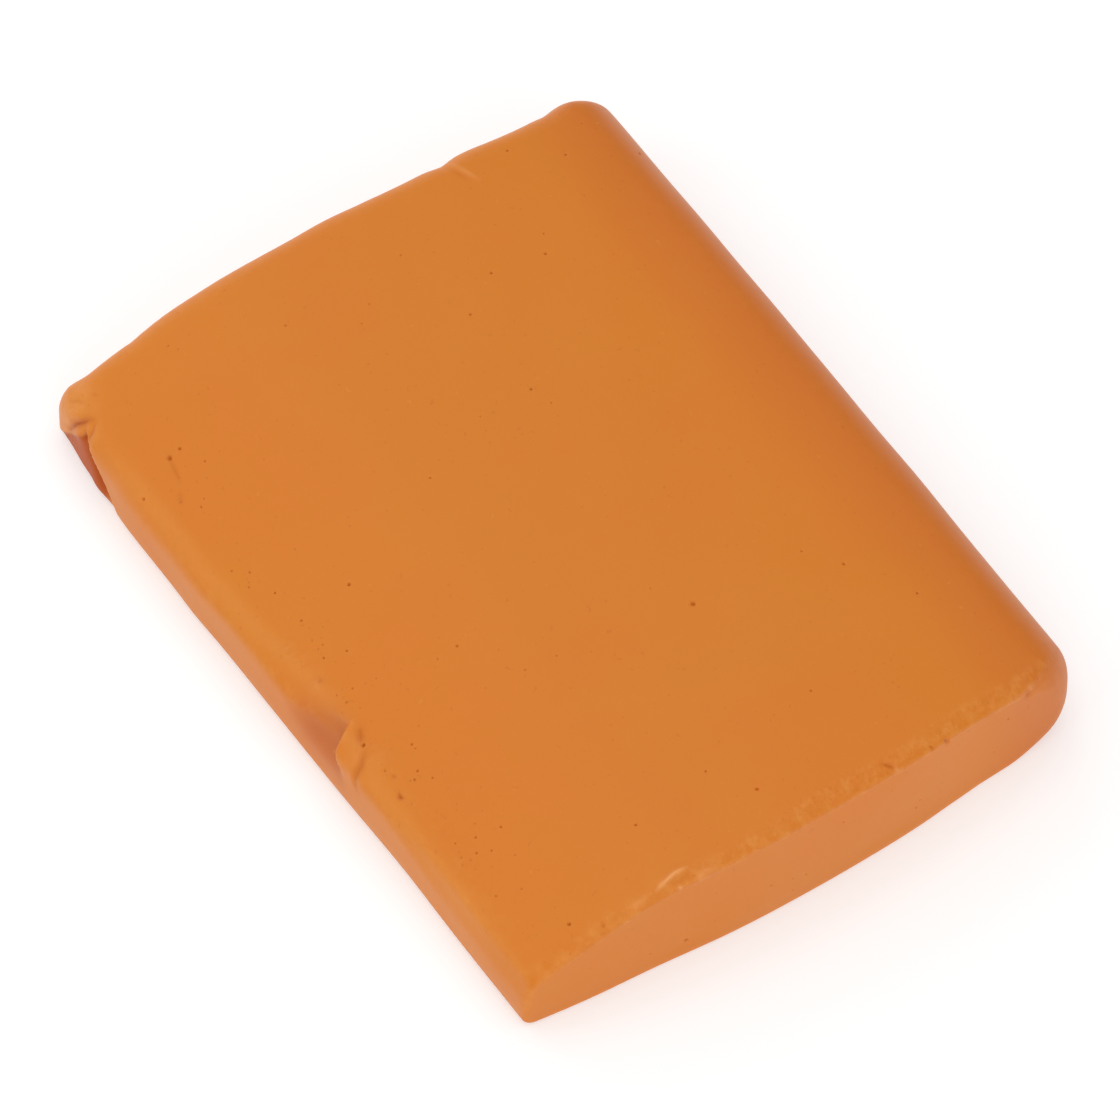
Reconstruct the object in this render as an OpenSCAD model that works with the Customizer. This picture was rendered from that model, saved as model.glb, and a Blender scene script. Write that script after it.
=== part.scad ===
// A bar of detailing clay lying on its largest face.
// +X runs along the bar to its cut end, +Y across it to the round-nosed side, +Z up.
// The origin is the middle of the underside's bounding box.

/* [Bar] */
// Length overall, from the folded end's lobe to the cut end
bar_length = 85.5; // [70:0.5:105]
// Width overall, from the foot of the leaning wall to the round nose
bar_width = 64; // [52:0.5:80]
// Thickness at the crest of the top face, at the folded end
bar_height = 14.4; // [12:0.1:18]
// How much thinner the bar is at its cut end
taper = 1; // [0:0.1:2]

/* [Top face] */
// Distance of the crest from the bar's centre line, toward the nose
crest_shift = 1; // [-6:0.5:6]
// Slope from the shoulder up to the crest, in degrees
crest_rise = 3; // [1:0.5:5]
// Slope from the crest down to the nose, in degrees
crest_fall = 5; // [2:0.5:7]
// Radius that blends the two slopes at the crest
crest_radius = 150; // [60:5:180]

/* [Leaning wall] */
// Height of the ridge where the wall turns into the sloping band
ridge_height = 7.4; // [5:0.1:9]
// Distance that the ridge leans in from the wall's foot
wall_lean = 1.9; // [0.5:0.1:3]
// Slope of the band between the ridge and the shoulder, in degrees
band_slope = 28; // [20:1:40]
// Radius of the ridge
ridge_radius = 1.4; // [0.4:0.1:2]
// Radius that blends the band into the top face
shoulder_radius = 30; // [5:1:40]
// Radius of the wall's lower edge
wall_foot_radius = 1.5; // [0.4:0.1:2.5]

/* [Round nose] */
// Radius of the nose's upper edge
nose_top_radius = 4.9; // [1:0.1:5.5]
// Radius of the nose's lower edge
nose_foot_radius = 4.6; // [1:0.1:5.5]

/* [Cut end] */
// How far the cut end bulges past its corners
cut_bulge = 2.4; // [0.5:0.1:4]
// Radius of the upright corner between the cut end and the nose
cut_nose_corner = 3.6; // [1:0.1:8]
// Radius of the upright corner between the cut end and the wall
cut_wall_corner = 1.2; // [0.4:0.1:4]

/* [Folded end] */
// How far the end leans back from the wall's corner to the nose's corner
end_skew = 1; // [0:0.1:3]
// Radius of the end's upper edge
end_top_radius = 2.6; // [0.5:0.1:5]
// How far the top face rolls down to the end's upper edge
end_drop = 0.3; // [0.1:0.1:1]
// Radius of the end's lower edge
end_foot_radius = 2; // [0.5:0.1:4]
// Radius of the upright corner between the end and the nose
end_nose_corner = 3; // [1:0.1:8]
// Radius of the upright corner between the end and the wall
end_wall_corner = 2.5; // [1:0.1:8]
// Radius of the lobe of clay folded round the wall's corner
lobe_radius = 4.8; // [3:0.1:6]
// How far the lobe stands out past the rest of the end
lobe_reach = 1.3; // [0.4:0.1:3]
// Gap between the lobe and the surface that the bar lies on
lobe_lift = 0.4; // [0.2:0.1:1]

/* [Marks in the wall] */
// Radius of the shallow groove under the ridge
groove_radius = 7; // [4:0.5:15]
// Depth of the groove
groove_depth = 0.5; // [0.2:0.1:1]
// Height of the groove's middle
groove_height = 4.4; // [3:0.1:6]
// Radius of the nick pressed into the wall near its middle
nick_radius = 4; // [2:0.1:6]
// Depth of the nick
nick_depth = 1.2; // [0.6:0.1:2]
// Distance of the nick from the bar's middle, toward the cut end
nick_shift = 6; // [-15:0.5:15]
// Height of the nick's middle
nick_height = 5; // [3:0.1:6.5]
// Radius of the pocket that the folded lobe leaves beside it
pocket_radius = 5; // [3:0.1:7]
// Depth of the pocket
pocket_depth = 1.6; // [0.6:0.1:2.5]
// Height of the pocket's middle
pocket_height = 2.6; // [1:0.1:5]
// Distance of the pocket's middle from the middle of the lobe
pocket_gap = 3.6; // [2:0.1:8]

/* [Hidden] */
$fa = 2;
$fs = 0.25;

clay_orange = [0.84, 0.50, 0.21];
half_length = bar_length / 2;
half_width = bar_width / 2;
// Room past the bar for the forms that are cut to it
spare = 10;
// The forms stand this much outside the two flat faces, so that each of those is cut just once
hair = 0.002;
nose_y = half_width + hair;
floor_z = -hair;
// Slope at which the top face rolls down to the folded end, in degrees
roll_slope = 5;

// The crest's corner stands this high, so that its rounded top ends at the bar's height
crest_corner = bar_height - crest_radius
    + crest_radius * cos((crest_fall - crest_rise) / 2) / cos((crest_fall + crest_rise) / 2);
nose_height = crest_corner - (nose_y - crest_shift) * tan(crest_fall);
taper_angle = atan(taper / bar_length);

// The wall leans in by this angle above its foot, and its outward normal is [across, up]
wall_angle = atan(wall_lean / (ridge_height - wall_foot_radius));
wall_normal = [-cos(wall_angle), sin(wall_angle)];
ridge_y = wall_lean - half_width;
// The shoulder is where the band's line meets the line that rises to the crest
shoulder_y = (crest_corner - ridge_height + ridge_y * tan(band_slope) - crest_shift * tan(crest_rise))
    / (tan(band_slope) - tan(crest_rise));
shoulder_height = ridge_height + (shoulder_y - ridge_y) * tan(band_slope);

// The cut end is part of a circle, and its sides' tangents meet in front of it
cut_x = half_length - cut_bulge;
cut_radius = (half_width ^ 2 + cut_bulge ^ 2) / (2 * cut_bulge);
cut_tip = cut_x + half_width * tan(asin(half_width / cut_radius));
end_x = lobe_reach - half_length;
lobe_x = lobe_radius - half_length;

// A corner is [x, y, fillet radius]
function place(corner) = [corner[0], corner[1]];
function toward(a, b) = (b - a) / norm(b - a);
function to_before(list, i) = toward(place(list[i]), place(list[(i + len(list) - 1) % len(list)]));
function to_after(list, i) = toward(place(list[i]), place(list[(i + 1) % len(list)]));
// How far along its edges a corner's fillet reaches
function reach(list, i) = list[i][2] / tan(acos(to_before(list, i) * to_after(list, i)) / 2);
// The share of its two fillets that the edge after corner i has room for
function share(list, i) = let (j = (i + 1) % len(list))
    min(1, norm(place(list[j]) - place(list[i])) / (reach(list, i) + reach(list, j)));
function fitted(list) = [for (i = [0:len(list) - 1])
    let (h = (i + len(list) - 1) % len(list))
        [list[i][0], list[i][1], list[i][2] * min(share(list, h), share(list, i))]];
// Where the wall's face is at a height, and a point moved out from there along its normal
function wall_y(height) = (height - wall_foot_radius) * tan(wall_angle) - half_width;
function off_wall(height, out) = [wall_y(height), height] + wall_normal * out;

// Height of the roll-down line at a distance from the folded end
function roll_top(distance) = bar_height - end_drop + distance * tan(roll_slope);

// The part of a fillet's circle that rounds a corner. It reaches a little inside the outline, and
// its radius is a hair over the fillet's, so that its arc crosses both edges cleanly.
module fillet_segment(corner, start, stop, radius) {
    wide = (stop - start) / 10;
    lift = corner - (start + stop) / 2;
    deep = lift / 4;
    translate(corner)
        intersection() {
            translate(-lift / norm(lift) * norm([radius, norm(start - corner)]))
                circle(r = radius + hair);
            translate(-corner)
                polygon([start - wide - deep, stop + wide - deep, stop + wide + lift, start - wide + lift]);
        }
}

// A convex outline with each corner rounded by a true arc
module rounded_outline(corners) {
    list = fitted(corners);
    starts = [for (i = [0:len(list) - 1]) place(list[i]) + to_before(list, i) * reach(list, i)];
    stops = [for (i = [0:len(list) - 1]) place(list[i]) + to_after(list, i) * reach(list, i)];
    polygon([for (i = [0:len(list) - 1]) each [starts[i], stops[i]]]);
    for (i = [0:len(list) - 1])
        fillet_segment(place(list[i]), starts[i], stops[i], list[i][2]);
}

// Sweeps a cross-section drawn as [across, up] along the bar, from a place behind its end
module along_bar() {
    translate([-half_length - spare, 0, 0])
        rotate([90, 0, 90])
            linear_extrude(bar_length + 2 * spare) children();
}

// The top face, the nose's upper edge, the band, the ridge and the wall, tipped toward the cut end
module top_form() {
    translate([-half_length, 0, 0])
        rotate([0, taper_angle, 0])
            translate([half_length, 0, 0])
                along_bar()
                    rounded_outline([
                        [wall_y(-spare), -spare, 1],
                        [nose_y, -spare, 1],
                        [nose_y, nose_height, nose_top_radius],
                        [crest_shift, crest_corner, crest_radius],
                        [shoulder_y, shoulder_height, shoulder_radius],
                        [ridge_y, ridge_height, ridge_radius]]);
}

// The rounded lower edges along the wall and the nose
module foot_form() {
    along_bar()
        rounded_outline([
            [-half_width, floor_z, wall_foot_radius],
            [nose_y, floor_z, nose_foot_radius],
            [nose_y, bar_height + spare, 1],
            [-half_width, bar_height + spare, 1]]);
}

// The outline from above, with the bulged cut end and the upright corners
module plan_form() {
    translate([0, 0, -spare])
        linear_extrude(bar_height + 2 * spare)
            intersection() {
                translate([half_length - cut_radius, 0]) circle(r = cut_radius);
                rounded_outline([
                    [end_x - hair, -half_width - hair, end_wall_corner],
                    [cut_x, -half_width - hair, cut_wall_corner],
                    [cut_tip, 0, 1],
                    [cut_x, nose_y, cut_nose_corner],
                    [end_x + end_skew - hair, nose_y, end_nose_corner]]);
            }
}

// The rounded upper and lower edges of the folded end, skewed as the end is
module end_form() {
    translate([end_x, -half_width, 0])
        rotate(-atan(end_skew / bar_width))
            translate([0, bar_width + spare, 0])
                rotate([90, 0, 0])
                    linear_extrude(bar_width + 2 * spare)
                        rounded_outline([
                            [0, floor_z, end_foot_radius],
                            [bar_length + spare, floor_z, 1],
                            [bar_length + spare, roll_top(bar_length + spare), 1],
                            [0, roll_top(0), end_top_radius]]);
}

// The two flat faces: the underside and the flat of the nose
module flat_faces() {
    translate([-bar_length, -bar_width, 0]) cube([2 * bar_length, bar_width + half_width, 2 * bar_height]);
}

// The lobe of clay that was folded round the wall's corner
module fold_lobe() {
    translate([lobe_x, lobe_radius - half_width, lobe_radius + lobe_lift]) sphere(r = lobe_radius);
}

// The shallow groove that runs along the wall under the ridge
module wall_groove() {
    along_bar() translate(off_wall(groove_height, groove_radius - groove_depth)) circle(r = groove_radius);
}

// A round dent in the wall
module wall_dent(x, height, radius, depth) {
    centre = off_wall(height, radius - depth);
    translate([x, centre[0], centre[1]]) sphere(r = radius);
}

module clay_bar() {
    color(clay_orange)
        difference() {
            intersection() {
                flat_faces();
                top_form();
                foot_form();
                union() {
                    intersection() {
                        plan_form();
                        end_form();
                    }
                    fold_lobe();
                }
            }
            wall_groove();
            wall_dent(nick_shift, nick_height, nick_radius, nick_depth);
            wall_dent(lobe_x + pocket_gap, pocket_height, pocket_radius, pocket_depth);
        }
}

clay_bar();
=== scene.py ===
"""A bar of orange detailing clay, lying on a pale table.

The bar is one lump of kneaded clay. Its form is held as a single field of distances: a low
cushion with a leaning wall on one long side, a round nose on the other, a cut end and a folded
end. The field is skinned with a fine mesh, small marks are pressed into that skin, and the
skin is dressed in one clay finish.
"""

import logging
import math
from dataclasses import dataclass, field, replace
from enum import Enum

import bpy
import numpy as np
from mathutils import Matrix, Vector


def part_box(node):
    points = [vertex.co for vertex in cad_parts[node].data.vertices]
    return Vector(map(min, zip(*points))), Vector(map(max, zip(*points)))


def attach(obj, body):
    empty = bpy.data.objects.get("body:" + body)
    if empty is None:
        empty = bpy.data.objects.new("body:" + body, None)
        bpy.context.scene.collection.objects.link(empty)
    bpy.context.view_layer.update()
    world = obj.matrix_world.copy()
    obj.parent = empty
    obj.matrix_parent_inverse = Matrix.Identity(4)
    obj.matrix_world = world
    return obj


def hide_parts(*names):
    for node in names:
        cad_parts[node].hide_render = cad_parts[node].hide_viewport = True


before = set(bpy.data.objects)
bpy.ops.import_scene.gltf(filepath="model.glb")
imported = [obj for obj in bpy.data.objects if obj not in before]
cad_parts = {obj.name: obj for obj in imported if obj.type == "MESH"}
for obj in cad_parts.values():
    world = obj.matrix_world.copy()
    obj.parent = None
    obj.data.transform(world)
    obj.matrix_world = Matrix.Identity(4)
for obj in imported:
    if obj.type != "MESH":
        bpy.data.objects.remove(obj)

LOG = logging.getLogger("clay_bar")
MM = 0.001
NODE = "clay_bar"

Points = np.ndarray
Values = np.ndarray
Place = tuple[float, float, float]
Colour = tuple[float, float, float, float]
Masks = dict[str, bpy.types.NodeSocket]


# --------------------------------------------------------------------------- small formulas
def smooth_step(low: float, high: float, t: Values) -> Values:
    """Eases from 0 at low to 1 at high."""
    h = np.clip((t - low) / (high - low), 0.0, 1.0)
    return h * h * (3.0 - 2.0 * h)


def round_join(a: Values, b: Values, radius: Values | float) -> Values:
    """Keeps what is inside both forms and rounds the edge where they meet.

    Args:
        a: distances to the first form.
        b: distances to the second form.
        radius: radius of the rounded edge, in millimetres.

    Returns:
        The distances to the joined form.
    """
    u = np.maximum(a + radius, 0.0)
    v = np.maximum(b + radius, 0.0)
    return np.minimum(np.maximum(a, b), -radius) + np.sqrt(u * u + v * v)


def soft_lower(a: Values, b: Values, blend: float) -> Values:
    """The lower of two heights, blended smoothly where they cross."""
    h = np.clip(0.5 + 0.5 * (b - a) / blend, 0.0, 1.0)
    return b * (1.0 - h) + a * h - blend * h * (1.0 - h)


def beside_line(x: Values, z: Values, start: tuple[float, float], end: tuple[float, float]) -> Values:
    """How far points lie to the left of a line that runs from start to end.

    Args:
        x: first coordinate of the points.
        z: second coordinate of the points.
        start: where the line starts.
        end: where the line ends.

    Returns:
        The signed distance, above 0 on the left of the line.
    """
    along_x = end[0] - start[0]
    along_z = end[1] - start[1]
    length = math.hypot(along_x, along_z)
    return (along_x * (z - start[1]) - along_z * (x - start[0])) / length


def gate(t: Values, softness: Values | float) -> Values:
    """0 well below t = 0 and 1 well above it, with a change a few times as wide as softness."""
    return 1.0 / (1.0 + np.exp(np.clip(-t / softness, -40.0, 40.0)))


@dataclass(frozen=True)
class Bend:
    """A gentle bend in a line or a face: a soft bell with a place, a width and a height."""

    middle: float
    half_width: float
    height: float = 1.0

    def at(self, t: Values) -> Values:
        """The bend's height at each value."""
        return self.height * np.exp(-(((t - self.middle) / self.half_width) ** 2))


def bent(line: Values, bends: tuple[Bend, ...], t: Values) -> Values:
    """Adds a row of bends to a line.

    Args:
        line: where the line runs without them.
        bends: the bends to add.
        t: place along the line.

    Returns:
        The bent line.
    """
    for bend in bends:
        line = line + bend.at(t)
    return line


# --------------------------------------------------------------------------- the bar's form
@dataclass(frozen=True)
class Waves:
    """A smooth unevenness: a sum of a few seeded waves that run every way through the clay."""

    seed: int
    count: int
    shortest: float
    longest: float
    height: float

    def drawn(self) -> tuple[Points, Values]:
        """Draws the waves, the same ones each time.

        Returns:
            Each wave's direction times its pitch, and its phase.
        """
        draw = np.random.default_rng(self.seed)
        direction = draw.normal(size=(self.count, 3))
        direction /= np.linalg.norm(direction, axis=1)[:, None]
        length = draw.uniform(self.shortest, self.longest, self.count)
        phase = draw.uniform(0.0, 2.0 * math.pi, self.count)
        return direction * (2.0 * math.pi / length)[:, None], phase

    def at(self, points: Points) -> Values:
        """Reads the unevenness at points.

        Args:
            points: places in millimetres.

        Returns:
            The height to add at each point, in millimetres.
        """
        pitch, phase = self.drawn()
        total = np.zeros(len(points))
        for direction, start in zip(pitch, phase):
            total += np.sin(points @ direction + start)
        return total * self.height / math.sqrt(self.count)


@dataclass(frozen=True)
class Cleft:
    """The fold under the far corner, where the corner tucks in behind the end of the wall."""

    edge_top: tuple[float, float] = (-36.1, 6.0)
    edge_foot: tuple[float, float] = (-31.0, 1.3)
    edge_width: float = 0.07
    tuck: float = 0.30
    roll_start: tuple[float, float] = (-41.5, 1.0)
    roll_end: tuple[float, float] = (-36.6, 6.1)
    depth: float = 1.6
    reach: float = 0.95
    falloff: float = 1.6
    along_edge: Bend = Bend(0.47, 0.42)
    tuck_end: tuple[float, float] = (-36.0, -33.5)
    roll_blend: float = 0.35
    shade: float = 0.75
    shade_end: tuple[float, float] = (-31.0, -33.0)

    def beyond(self, x: Values, z: Values) -> Values:
        """How far points lie beyond the end of the wall, towards the corner."""
        return -beside_line(x, z, self.edge_top, self.edge_foot)

    def behind(self, x: Values, z: Values) -> Values:
        """1 on the corner's side of the wall's end and 0 on the wall, with a crisp change."""
        return gate(self.beyond(x, z), self.edge_width)

    def crevice(self, x: Values, z: Values) -> Values:
        """The narrow gap right behind the end of the wall, from 0 outside to 1 at its deepest.

        Args:
            x: place along the bar.
            z: height.

        Returns:
            The share of the gap's depth.
        """
        run = self.edge_foot[0] - self.edge_top[0]
        drop = self.edge_foot[1] - self.edge_top[1]
        share = ((x - self.edge_top[0]) * run + (z - self.edge_top[1]) * drop) / (run**2 + drop**2)
        tail = np.exp(-((np.maximum(self.beyond(x, z), 0.0) / self.reach) ** self.falloff))
        return self.behind(x, z) * tail * self.along_edge.at(share)

    def depth_at(self, x: Values, z: Values) -> Values:
        """How far the corner is tucked in."""
        ended = 1.0 - smooth_step(*self.tuck_end, x)
        return self.tuck * self.under(x, z) * ended + self.depth * self.crevice(x, z)

    def under(self, x: Values, z: Values) -> Values:
        """1 under the rolled corner and behind the wall's end, 0 elsewhere."""
        below = -beside_line(x, z, self.roll_start, self.roll_end)
        return smooth_step(-self.roll_blend, self.roll_blend, below) * self.behind(x, z)

    def shade_at(self, x: Values, z: Values) -> Values:
        """How much painted shade the fold gets at each point, from 0 to 1."""
        tucked = self.shade * self.under(x, z) * smooth_step(*self.shade_end, x)
        return np.maximum(tucked, self.crevice(x, z))


@dataclass(frozen=True)
class Notch:
    """The thumb-sized dent in the wall, which ends in a short upright step."""

    start: float = -0.5
    full: float = 6.4
    step_top: tuple[float, float] = (6.9, 7.7)
    step_lean: float = 0.6
    step_width: float = 0.112
    step_fade: float = 0.44
    step_fade_below: float = 5.6
    depth: float = 1.5
    upright: Bend = Bend(6.0, 1.5)
    lip: Bend = Bend(0.7, 0.9, 0.08)
    shade_rise: tuple[float, float] = (-1.5, 4.4)
    shade_stop: tuple[float, float] = (0.5, -0.3)
    shade_upright: Bend = Bend(4.9, 2.3)

    def past_step(self, x: Values, z: Values) -> Values:
        """How far points lie past the step, towards the cut end."""
        return x - self.step_top[0] - self.step_lean * np.maximum(self.step_top[1] - z, 0.0)

    def depth_at(self, x: Values, z: Values) -> Values:
        """How deep the wall is pressed in.

        Args:
            x: place along the bar.
            z: height.

        Returns:
            The depth in millimetres, below 0 where the lip stands proud.
        """
        past = self.past_step(x, z)
        softness = self.step_width + self.step_fade * np.maximum(self.step_fade_below - z, 0.0)
        pressed = self.depth * smooth_step(self.start, self.full, x) * gate(-past, softness)
        return (pressed - self.lip.at(past)) * self.upright.at(z)

    def shade_at(self, x: Values, z: Values) -> Values:
        """How much painted shade the dent gets: how far inside it each point is, from 0 to 1."""
        before = smooth_step(*self.shade_stop, self.past_step(x, z))
        return smooth_step(*self.shade_rise, x) * before * self.shade_upright.at(z)


@dataclass(frozen=True)
class BarForm:
    """The whole form of the bar, in millimetres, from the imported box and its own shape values.

    Pairs of numbers say where something starts and where it is full. Places are in millimetres
    from the bar's centre, apart from the few that are shares from -1 to 1 of its length or width.
    """

    LONGEST_STEP = 0.4
    FLATTEST = 0.15

    length: float
    width: float
    height: float
    corner_lift: float = 0.93
    end_inset: float = 0.75
    side_ease: float = 0.08
    crown: float = 2.2
    crown_tilt: float = 0.58
    crown_sag: float = 0.47
    crown_ease: float = 0.15
    band_height: float = 6.5
    band_slope: float = 0.547
    band_blend: float = 4.0
    wall_ease: float = 0.04
    wall_twist: float = 0.39
    wall_upright: float = 6.8
    upright_fall_fold: float = 1.4
    upright_fall_cut: float = 2.5
    fall_fold: tuple[float, float] = (-2.0, -32.0)
    fall_cut: tuple[float, float] = (12.0, 28.0)
    crest_in: float = 0.85
    crest_dip: Bend = Bend(2.0, 9.5, 1.25)
    crest_rise: float = 0.15
    crest_blend: float = 0.5
    corner_tuck: Bend = Bend(-1.0, 0.10, 0.77)
    wall_bends: tuple[Bend, ...] = (Bend(-32.5, 3.2, 0.26), Bend(19.5, 7.0, 0.20), Bend(-16.0, 3.0, -0.12))
    shoulder: float = 0.5
    bead: Bend = Bend(0.0, 0.6, 0.16)
    bead_start: tuple[float, float] = (-0.88, -0.75)
    ridge_radius: float = 0.7
    foot_radius: float = 1.1
    nose_top_radius: float = 4.9
    nose_foot_radius: float = 4.6
    nose_bow: float = 0.07
    nose_share: tuple[float, float] = (0.72, 1.0)
    cut_reach: float = 0.18
    cut_bulge: float = 2.38
    cut_skew: float = 0.24
    cut_bends: tuple[Bend, ...] = (Bend(-17.5, 6.0, -0.25), Bend(18.5, 4.5, -0.25), Bend(28.0, 2.5, 0.12))
    cut_radius: float = 0.45
    cut_nose_radius: float = 3.6
    cut_droop: float = 0.50
    cut_droop_reach: float = 1.8
    fold_skew: float = 0.5
    fold_radius: float = 2.3
    fold_nose_radius: float = 1.9
    fold_swell: Bend = Bend(-1.0, 0.13, -1.92)
    fold_hollow: Bend = Bend(-32.6, 2.0, 0.75)
    corner_lean: Bend = Bend(-32.0, 3.2, 0.26)
    corner_lean_from: float = 4.0
    scallops: tuple[Bend, ...] = (
        Bend(-28.0, 0.9, 0.10), Bend(-25.2, 2.4, -0.14), Bend(-23.0, 0.8, 0.08), Bend(-19.5, 3.0, -0.12),
        Bend(-1.0, 3.0, -0.18), Bend(8.0, 3.0, 0.10), Bend(12.4, 1.2, 0.32), Bend(15.5, 2.4, -0.12),
        Bend(23.8, 1.6, -0.06), Bend(24.6, 0.8, 0.14), Bend(27.0, 2.2, -0.40),
    )
    scallop_rise: tuple[float, float] = (2.0, 8.5)
    top_slope: float = 0.93
    wall_edge: tuple[float, float] = (-27.5, -29.0)
    nose_edge: tuple[float, float] = (18.0, 30.0)
    rubbed_and_highlit: Bend = Bend(0.25, 0.8)
    rubbed_and_highlit_fold: tuple[float, float] = (-36.0, -28.0)
    rubbed_and_highlit_cut: tuple[float, float] = (38.0, 30.0)
    lobe_along: Bend = Bend(-39.6, 2.2, 2.0)
    lobe_across: Bend = Bend(-30.8, 2.0)
    worn_reach: float = 1.5
    worn_more: float = 0.7
    worn_more_from: tuple[float, float] = (-12.0, 4.0)
    worn_sides: tuple[float, float] = (30.0, 26.0)
    worn_below: float = 0.35
    swell_rise: tuple[float, float] = (0.6, 2.5)
    swells: Waves = Waves(seed=11, count=12, shortest=10.0, longest=28.0, height=0.05)
    cleft: Cleft = Cleft()
    notch: Notch = Notch()

    def along(self, x: Values) -> Values:
        """Place along the bar from -1 at the folded end to 1 at the cut end."""
        return 2.0 * (x - self.corner_lift) / (self.length - 2.0 * self.end_inset)

    def across(self, y: Values) -> Values:
        """Place across the bar from -1 at the wall to 1 at the nose."""
        return 2.0 * y / (self.width + 2.0 * self.side_ease)

    def top_height(self, x: Values, y: Values) -> Values:
        """Height of the top face, with its crown and the band that falls to the wall.

        Args:
            x: place along the bar.
            y: place across the bar.

        Returns:
            The height of the face above the table.
        """
        g = self.along(x)
        e = self.across(y)
        crown = self.height - self.crown_ease - self.crown * e * e
        crown = crown - self.crown_tilt * g - self.crown_sag * g * g
        band = self.band_height + self.band_slope * (y + self.width / 2.0 + self.side_ease)
        face = soft_lower(crown, band, self.band_blend)
        gap = np.clip(self.cut_line(y) - x, 0.0, self.cut_droop_reach)
        return face - self.cut_droop * (1.0 - gap / self.cut_droop_reach) ** 2

    def crest_lean(self, x: Values) -> Values:
        """How far in from the wall's foot its crest stands."""
        return self.crest_in + self.crest_dip.at(x)

    def on_wall(self, y: Values) -> Values:
        """1 by the wall and 0 further in, so that the wall's marks stay on it."""
        return smooth_step(*self.wall_edge, y)

    def softly_above(self, height: Values) -> Values:
        """The part of a height that is above 0, with a soft shoulder at 0."""
        return 0.5 * (height + np.sqrt(height * height + self.shoulder**2))

    def wall_line(self, x: Values, z: Values) -> Values:
        """Where the leaning wall stands at each height.

        Args:
            x: place along the bar.
            z: height.

        Returns:
            The place across the bar of the wall's face.
        """
        g = self.along(x)
        line = -self.width / 2.0 + self.wall_ease + self.wall_twist * g
        upright = self.wall_upright - self.upright_fall_fold * smooth_step(*self.fall_fold, x)
        upright = upright - self.upright_fall_cut * smooth_step(*self.fall_cut, x)
        lean = self.crest_lean(x)
        crest = self.band_height + self.band_slope * lean + self.crest_rise
        share = self.softly_above(z - upright) / (crest - upright)
        share = soft_lower(share, np.ones_like(share), self.crest_blend)
        line = line + lean * share + self.softly_above(z - crest)
        line = bent(line + self.corner_tuck.at(g), self.wall_bends, x)
        return line - self.bead.at(z - crest) * smooth_step(*self.bead_start, g)

    def crest_at(self, points: Points) -> Values:
        """Where the skin is rubbed and painted with a highlight: a line along the crest of the wall, and
        more on the corner.
        """
        x, y, _ = points.T
        inside = y - (-self.width / 2.0 + self.wall_ease + self.crest_lean(x))
        ends = smooth_step(*self.rubbed_and_highlit_fold, x) * smooth_step(*self.rubbed_and_highlit_cut, x)
        return self.rubbed_and_highlit.at(inside) * ends + self.lobe_along.at(x) * self.lobe_across.at(y)

    def cut_line(self, y: Values) -> Values:
        """Where the bulging face of the cut end stands, across the bar."""
        e = self.across(y)
        line = self.length / 2.0 + self.cut_reach - self.cut_bulge * e * e + self.cut_skew * e
        return bent(line, self.cut_bends, y)

    def fold_line(self, y: Values, z: Values) -> Values:
        """Where the folded end stands, with the small scallops of its rim.

        Args:
            y: place across the bar.
            z: height.

        Returns:
            The place along the bar of the folded end.
        """
        e = self.across(y)
        line = -self.length / 2.0 + self.end_inset + self.corner_lift + self.fold_skew * e
        line = line + self.fold_swell.at(e) + self.fold_hollow.at(y)
        return line + bent(np.zeros_like(y), self.scallops, y) * smooth_step(*self.scallop_rise, z)

    def at(self, points: Points) -> Values:
        """The field itself.

        Args:
            points: places in millimetres.

        Returns:
            About the distance to the clay's surface, below 0 inside.
        """
        x, y, z = points.T
        e = self.across(y)
        nose = self.width / 2.0 + self.side_ease + self.nose_bow * (1.0 - self.along(x) ** 2)
        above = (z - self.top_height(x, y)) * self.top_slope
        body = round_join(above, y - nose, self.nose_top_radius)
        body = round_join(body, self.wall_line(x, z) - y, self.ridge_radius)
        to_nose = np.clip((e + 1.0) / 2.0, 0.0, 1.0)
        foot = self.foot_radius * (1.0 - to_nose) + self.nose_foot_radius * to_nose
        body = round_join(body, -z, foot)
        corner = smooth_step(*self.nose_share, e)
        cut = self.cut_radius + (self.cut_nose_radius - self.cut_radius) * corner
        body = round_join(body, x - self.cut_line(y), cut)
        fold = self.fold_radius + (self.fold_nose_radius - self.fold_radius) * corner
        lean = self.corner_lean.at(y) * np.maximum(z - self.corner_lean_from, 0.0)
        body = round_join(body, self.fold_line(y, z) + lean - x, fold)
        body = body + (self.notch.depth_at(x, z) + self.cleft.depth_at(x, z)) * self.on_wall(y)
        return body - self.swells.at(points) * smooth_step(*self.swell_rise, z)

    def worn_at(self, points: Points) -> Values:
        """The dragged strip along the top of the cut end, from 0 outside it to 1.

        Args:
            points: places on the skin.

        Returns:
            The share of wear at each point.
        """
        x, y, z = points.T
        gap = self.cut_line(y) - x
        reach = self.worn_reach + self.worn_more * smooth_step(*self.worn_more_from, y)
        near = smooth_step(1.1, 0.55, gap / reach)
        upper = smooth_step(-0.25, 0.1, z - self.top_height(x, y) + self.worn_below)
        return near * upper * smooth_step(*self.worn_sides, np.abs(y))

    def masks(self, points: Points) -> dict[str, Values]:
        """The masks that come from the form itself.

        Args:
            points: places on the skin.

        Returns:
            The values of each mask, by name.
        """
        x, y, z = points.T
        wall = self.on_wall(y)
        return {
            "worn": self.worn_at(points),
            # the nose mask is where the finish paints shade on the side that faces away from the lights
            "nose": smooth_step(*self.nose_edge, y),
            # the crest mask carries a painted highlight and the crest's scrapes
            "crest": self.crest_at(points),
            # the crease mask carries painted shade into the fold under the corner
            "crease": self.cleft.shade_at(x, z) * wall,
            # the hollow mask carries painted shade into the dent
            "hollow": self.notch.shade_at(x, z) * wall,
        }

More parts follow.
